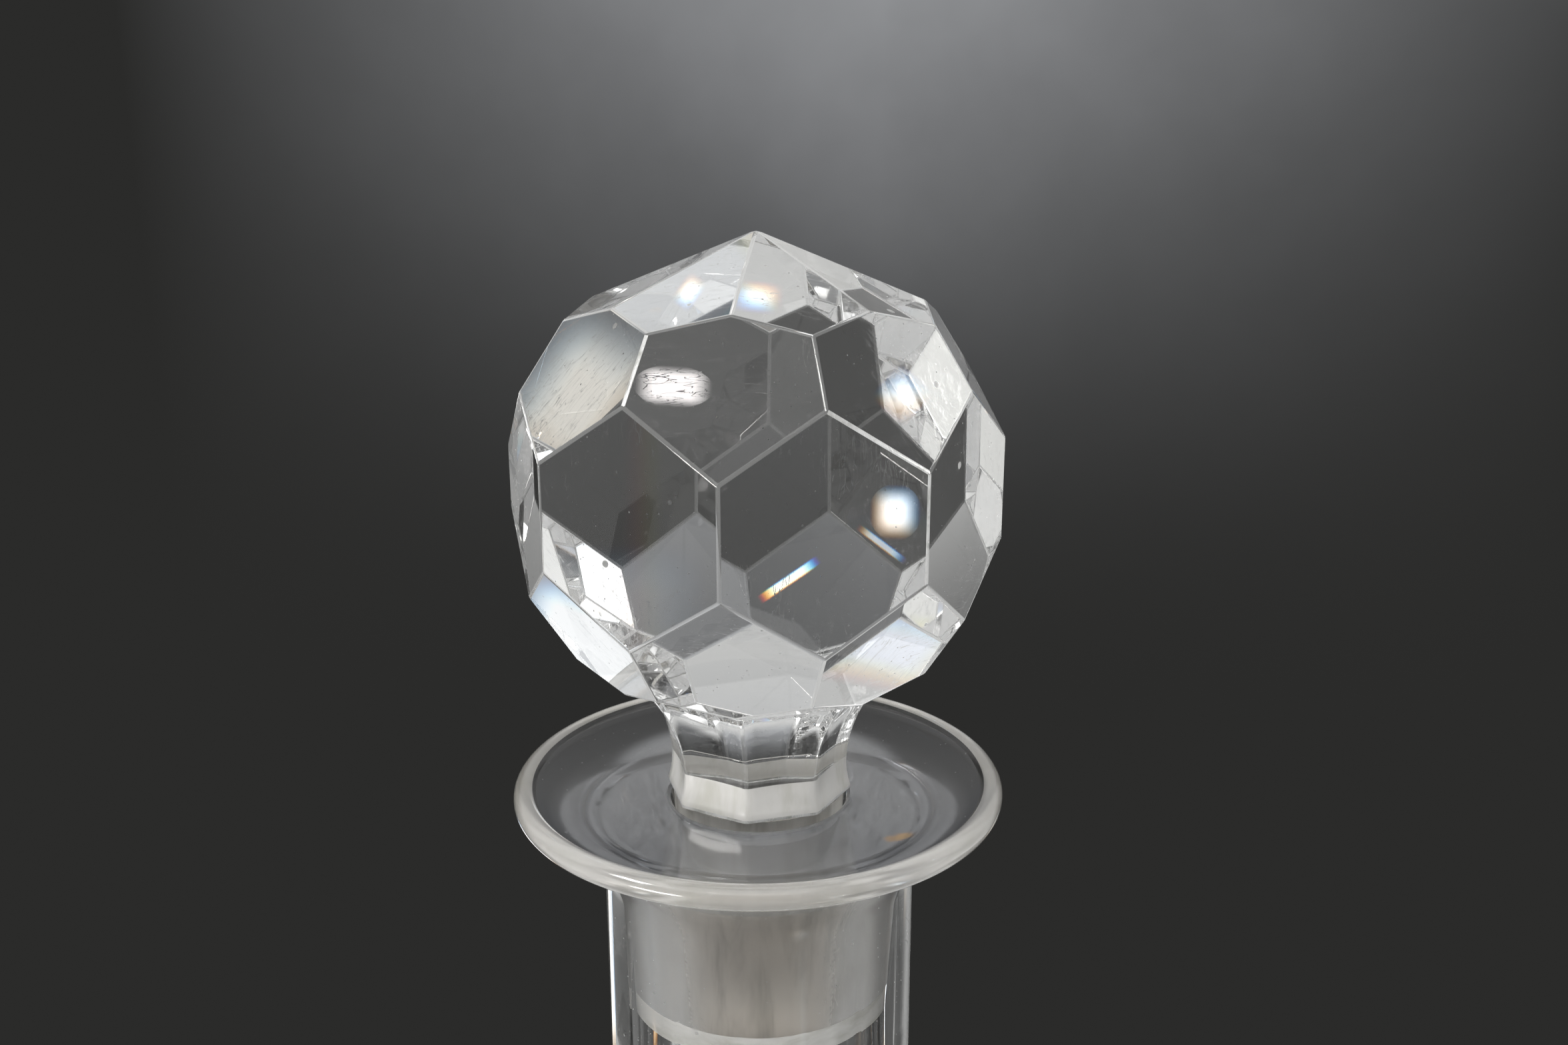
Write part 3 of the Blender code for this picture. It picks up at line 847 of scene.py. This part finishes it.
def makeBottle():
    mitreLow = bottle["diamondLow"] - bottle["mitreWidth"] * bottle["mitreSpace"]
    mitreHigh = bottle["diamondHigh"] + bottle["mitreWidth"] * bottle["mitreSpace"]
    shoulderLow = mitreHigh + bottle["mitreWidth"] * bottle["shoulderSpace"]
    baseFlutes = fluteRings("baseFlute", bottle["baseFluteLow"])
    shoulderFlutes = fluteRings("shoulderFlute", shoulderLow)
    diamonds = diamondRings()
    below = starRings() + footRings() + baseFlutes + mitreRings(mitreLow)
    lip = [roundRing(*point) for point in lipPoints()]
    hollow = [roundRing(*point) for point in hollowPoints()]
    above = mitreRings(mitreHigh) + shoulderFlutes + lip + hollow
    firstDiamond = len(below)

    bm = bmesh.new()
    loops = [bottleRing(bm, ring) for ring in below + diamonds + above]
    for index in range(len(loops) - 1):
        step = index - firstDiamond
        if 0 <= step < len(diamonds) - 1:
            joinDiamonds(bm, loops[index], loops[index + 1], step)
        else:
            joinRings(bm, loops[index], loops[index + 1])
    closeRing(bm, loops[0], bottle["footRecess"] + bottle["starDepth"])
    closeRing(bm, loops[-1], bottle["floor"])
    piece = finishMesh("crystalBottle", bm, bottle["finishes"], bottle["sharpAngle"])
    mesh = piece.data
    seatReach = seatRadius(lipHeight) + bottle["seatSkin"]
    dishReach = bottle["lipRadius"] - bottle["rimInset"] * bottle["rimRadius"]
    rimLow = lipHeight - bottle["rimDepth"] * bottle["rimRadius"]
    for face in mesh.polygons:
        middle = face.center
        reach = math.hypot(middle.x, middle.y)
        if jointFoot < middle.z < jointTop and reach < seatReach:
            face.material_index = bottleSlot("groundCrystal")
        # painted highlight: the white band at the seat's foot
        elif bandFoot < middle.z < jointFoot and reach < seatReach:
            face.material_index = bottleSlot("seatFootHighlight")
        # painted light: the rim gets the pale worn finish
        elif middle.z > rimLow and reach > dishReach:
            face.material_index = bottleSlot("wornRimSheen")
        # painted shade: the dish's upward faces get the darkened finish
        elif middle.z > seatTop and face.normal.z > bottle["dishSlope"]:
            face.material_index = bottleSlot("dustyShadedDish")
    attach(piece, "bottle")
    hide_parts("bottle")
    print("bottle made:", len(mesh.polygons), "faces")


makeStopper()
makeBottle()


# camera, where the photograph was taken

camera = {
    "lens": 31.0,
    "sensorWidth": 36.0,
    "clip": (0.005, 50.0),
    "turn": 7.66,                # degrees round the axis from the front
    "distance": 140.5 * mm,      # from the axis
    "aboveBall": 31.8 * mm,
    "aimTurn": -6.5,
    "aimTilt": -14.45,
}


def toward(turn, rise):
    # a direction, in degrees round from straight behind and up
    around, climb = math.radians(turn), math.radians(rise)
    return Vector((math.sin(around) * math.cos(climb), math.cos(around) * math.cos(climb), math.sin(climb)))


def makeCamera():
    data = bpy.data.cameras.new("photoCamera")
    data.lens = camera["lens"]
    data.sensor_width = camera["sensorWidth"]
    data.clip_start, data.clip_end = camera["clip"]
    view = bpy.data.objects.new("photoCamera", data)
    scene.collection.objects.link(view)
    turn = math.radians(camera["turn"])
    view.location = (
        camera["distance"] * math.sin(turn),
        -camera["distance"] * math.cos(turn),
        ballHeight + camera["aboveBall"],
    )
    view.rotation_mode = "QUATERNION"
    view.rotation_quaternion = toward(camera["aimTurn"], camera["aimTilt"]).to_track_quat("-Z", "Y")
    scene.camera = view
    print("camera set")


makeCamera()


# floor, backdrop and studio light

studio = {
    "floorRadius": 0.6,
    "floorSides": 128,
    "poolRadius": 0.12,          # pale to here, gone by poolEnd
    "poolEnd": 0.22,
    "floorColor": (0.74, 0.74, 0.73, 1.0),
    "floorRoughness": 0.6,
    "wallColor": (0.56, 0.56, 0.555, 1.0),
    "backLow": (0.024, 0.024, 0.023, 1.0),
    "backGlow": (0.46, 0.47, 0.49, 1.0),
    "backPlace": (-12.0, -14.0),  # middle of the dark backdrop, degrees round from straight behind and up
    "backReach": (51.0, 30.0),   # its half width and half height
    "backEdge": (0.92, 1.35),    # share of that reach where the dark begins and ends to fade
    "glowTurn": -2.5,
    "glowReach": 29.0,
    "glowRise": (-26.0, 22.0),
    "glowCurve": 2.0,
    "clothScale": 7.0,           # mottling of the backdrop's cloth, and its strength and least brightness
    "clothMottle": (0.5, 0.75),
    "wingColor": (0.07, 0.07, 0.069, 1.0),
    "wingTurn": 2.0,
    "wingReach": (70.0, 84.0),   # dark low wings, either side of the backdrop
    "wingLow": (-46.0, -38.0),
    "wingHigh": (-31.0, -22.0),
    "splitEdges": {"Across": 0.02, "Up": 0.02, "Soft": 0.05},
    "roundLamps": ("sideLamp", "frontWindow"),
    "lamps": [
        # name, turn and rise seen from the ball, width, height and roll in degrees, distance,
        # degrees between the red and the blue edge across and up, softness of the edge, brightness
        ("rightWall", 102.0, 18.0, 36.0, 34.0, 0.0, 2.6, (0.5, 0.5), 0.04, (0.30, 0.30, 0.29)),
        ("leftWindow", -41.0, 36.0, 8.0, 6.0, 20.0, 2.6, (0.4, 0.4), 0.25, (0.35, 0.40, 0.52)),
        ("frontLeftWall", -136.0, -8.0, 28.0, 26.0, 0.0, 2.6, (0.5, 0.5), 0.04, (0.26, 0.26, 0.24)),
        ("backWindow", -25.0, 42.0, 11.0, 7.0, 10.0, 2.6, (0.6, 0.5), 0.12, (0.55, 0.63, 0.77)),
        ("rightCard", 35.5, -34.0, 9.0, 13.0, 15.0, 0.26, (0.15, 0.15), 0.35, (0.66, 0.63, 0.57)),
        ("leftCard", -43.0, -39.0, 10.0, 14.0, 0.0, 0.30, (0.2, 0.2), 0.15, (1.9, 1.95, 2.0)),
        ("frontCard", 143.0, -45.0, 14.0, 14.0, 0.0, 0.30, (0.2, 0.2), 0.48, (1.7, 1.67, 1.58)),
        ("sideLamp", 136.7, -13.8, 2.3, 2.5, 0.0, 2.6, (0.05, 0.05), 0.42, (22.0, 22.0, 22.0)),
        ("slitLamp", 137.3, -15.2, 2.7, 0.4, -36.0, 2.6, (0.10, 0.02), 0.25, (9.0, 9.8, 11.0)),
        ("stripLamp", 141.5, -16.8, 3.3, 0.5, 34.0, 2.6, (0.18, 0.02), 0.20, (20.0, 20.0, 18.0)),
        ("frontWindow", -161.5, 52.7, 3.5, 1.85, 12.0, 2.6, (0.0, 0.0), 0.30, (17.0, 16.2, 16.0)),
        ("crownSparkLeft", -24.3, 42.1, 1.7, 1.1, 20.0, 2.6, (0.07, 0.05), 0.42, (6.0, 6.4, 7.0)),
        ("crownSpark", 0.7, 49.9, 2.4, 1.5, 10.0, 2.6, (0.12, 0.10), 0.42, (6.5, 6.9, 7.8)),
        ("rightSpark", 79.7, 34.7, 2.2, 2.2, 0.0, 2.6, (0.08, 0.07), 0.42, (13.0, 13.2, 13.8)),
        ("lowLeftCard", -121.5, -18.5, 8.0, 7.0, 0.0, 2.6, (0.2, 0.2), 0.3, (1.0, 1.0, 1.02)),
        ("leftSoftbox", -120.0, 42.0, 16.0, 13.0, 0.0, 2.6, (0.0, 0.0), 0.2, (22.0, 21.6, 21.0)),
        ("frontSoftbox", -144.0, 0.0, 26.0, 9.0, 0.0, 2.6, (0.0, 0.0), 0.2, (19.0, 18.8, 18.2)),
        ("overheadSoftbox", 180.0, 66.0, 60.0, 56.0, 0.0, 2.6, (0.0, 0.0), 0.25, (1.0, 1.0, 1.0)),
    ],
    "glassBounces": 24,          # enough for light that is thrown about inside the ball
    "clearBounces": 12,
}


def makeFloor():
    bm = bmesh.new()
    bmesh.ops.create_circle(bm, cap_ends=True, segments=studio["floorSides"], radius=studio["floorRadius"])
    piece = finishMesh("studioFloor", bm)
    material = bpy.data.materials.new("paleFloor")
    material.use_nodes = True
    tree = material.node_tree
    shader = tree.nodes["Principled BSDF"]
    shader.inputs["Base Color"].default_value = studio["floorColor"]
    shader.inputs["Roughness"].default_value = studio["floorRoughness"]
    place = addNode(tree, "ShaderNodeTexCoord", {}).outputs["Object"]
    fade = ramp(tree, lengthOf(tree, place), studio["poolRadius"], studio["poolEnd"])
    clear = addNode(tree, "ShaderNodeBsdfTransparent", {}).outputs["BSDF"]
    mix = addNode(tree, "ShaderNodeMixShader", {"Fac": fade, 1: shader.outputs["BSDF"], 2: clear})
    feed(tree, tree.nodes["Material Output"].inputs["Surface"], mix.outputs["Shader"])
    piece.data.materials.append(material)


def makeWorld():
    # a pale room all round, with a dark soft-edged backdrop behind the decanter
    world = bpy.data.worlds.new("paleStudio")
    scene.world = world
    world.use_nodes = True
    tree = world.node_tree
    place = addNode(tree, "ShaderNodeTexCoord", {}).outputs["Generated"]
    parts = addNode(tree, "ShaderNodeSeparateXYZ", {"Vector": place}).outputs
    around = calc(tree, "DEGREES", calc(tree, "ARCTAN2", parts["X"], parts["Y"]))
    climb = calc(tree, "DEGREES", calc(tree, "ARCSINE", parts["Z"]))

    def aside(turn):
        return calc(tree, "ABSOLUTE", calc(tree, "SUBTRACT", around, turn))

    (backTurn, backRise), (backWidth, backHeight) = studio["backPlace"], studio["backReach"]
    side = calc(tree, "DIVIDE", aside(backTurn), backWidth)
    height = calc(tree, "DIVIDE", calc(tree, "SUBTRACT", climb, backRise), backHeight)
    oval = addNode(tree, "ShaderNodeCombineXYZ", {"X": side, "Y": height}).outputs["Vector"]
    dark = ramp(tree, lengthOf(tree, oval), *studio["backEdge"], down=True)

    glow = ramp(tree, aside(studio["glowTurn"]), 0.0, studio["glowReach"], down=True, shape="LINEAR")
    rise = ramp(tree, climb, *studio["glowRise"])
    glow = calc(tree, "MULTIPLY", glow, calc(tree, "POWER", rise, studio["glowCurve"]))
    cloth = noise(tree, place, Scale=studio["clothScale"], Detail=4.0, Roughness=0.55)
    glow = calc(tree, "MULTIPLY", glow, calc(tree, "MULTIPLY_ADD", cloth, *studio["clothMottle"]))
    backdrop = blend(tree, glow, studio["backLow"], studio["backGlow"])

    wings = ramp(tree, aside(studio["wingTurn"]), *studio["wingReach"], down=True)
    for limits, down in ((studio["wingLow"], False), (studio["wingHigh"], True)):
        wings = calc(tree, "MULTIPLY", wings, ramp(tree, climb, *limits, down=down))
    room = blend(tree, wings, studio["wallColor"], studio["wingColor"])
    feed(tree, tree.nodes["Background"].inputs["Color"], blend(tree, dark, room, backdrop))


def makeSplitEdges():
    # a lamp's face with its edges split into colours, which stands in for the crystal's own dispersion
    group, start, end = newGroup("splitEdges", studio["splitEdges"], "Color", "NodeSocketColor")
    parts = addNode(group, "ShaderNodeSeparateXYZ", {"Vector": start["Vector"]}).outputs
    half = 0.5                   # of the face, from its middle to its edge
    solid = calc(group, "SUBTRACT", half, start["Soft"])
    channels = {}
    for channel, way in (("Red", -1.0), ("Green", 0.0), ("Blue", 1.0)):
        masks = []
        for axis, spread in (("X", "Across"), ("Y", "Up")):
            shift = calc(group, "MULTIPLY", start[spread], way)
            offset = calc(group, "SUBTRACT", calc(group, "SUBTRACT", parts[axis], half), shift)
            gone = calc(group, "ADD", calc(group, "ABSOLUTE", offset), start[spread])
            masks.append(ramp(group, gone, solid, half, down=True))
        channels[channel] = calc(group, "MULTIPLY", *masks)
    feed(group, end["Color"], addNode(group, "ShaderNodeCombineColor", channels).outputs["Color"])
    return group


def makeLamps():
    splitEdges = makeSplitEdges()
    middle = Vector((0.0, 0.0, ballHeight))
    for name, turn, rise, width, height, roll, distance, spread, soft, brightness in studio["lamps"]:
        data = bpy.data.lights.new(name, "AREA")
        data.shape = "ELLIPSE" if name in studio["roundLamps"] else "RECTANGLE"
        data.size = 2 * distance * math.tan(math.radians(width / 2))
        data.size_y = 2 * distance * math.tan(math.radians(height / 2))
        strength = max(brightness)
        data.energy = strength * math.pi * data.size * data.size_y
        data.color = [channel / strength for channel in brightness]
        data.use_nodes = True
        tree = data.node_tree
        face = addNode(tree, "ShaderNodeNewGeometry", {}).outputs["Parametric"]
        amounts = {"Across": spread[0] / width, "Up": spread[1] / height, "Soft": soft}
        split = placeGroup(tree, splitEdges, face, amounts)
        feed(tree, tree.nodes["Emission"].inputs["Color"], split)
        lamp = bpy.data.objects.new(name, data)
        scene.collection.objects.link(lamp)
        direction = toward(turn, rise)
        lamp.location = middle + direction * distance
        lamp.rotation_mode = "QUATERNION"
        aim = (-direction).to_track_quat("-Z", "Y")
        lamp.rotation_quaternion = aim @ Quaternion((0, 0, 1), math.radians(roll))
        lamp.visible_camera = False


makeFloor()
makeWorld()
makeLamps()
scene.cycles.max_bounces = studio["glassBounces"]
scene.cycles.transmission_bounces = studio["glassBounces"]
scene.cycles.glossy_bounces = studio["glassBounces"]
scene.cycles.transparent_max_bounces = studio["clearBounces"]
print("studio set:", len(studio["lamps"]), "lamps")
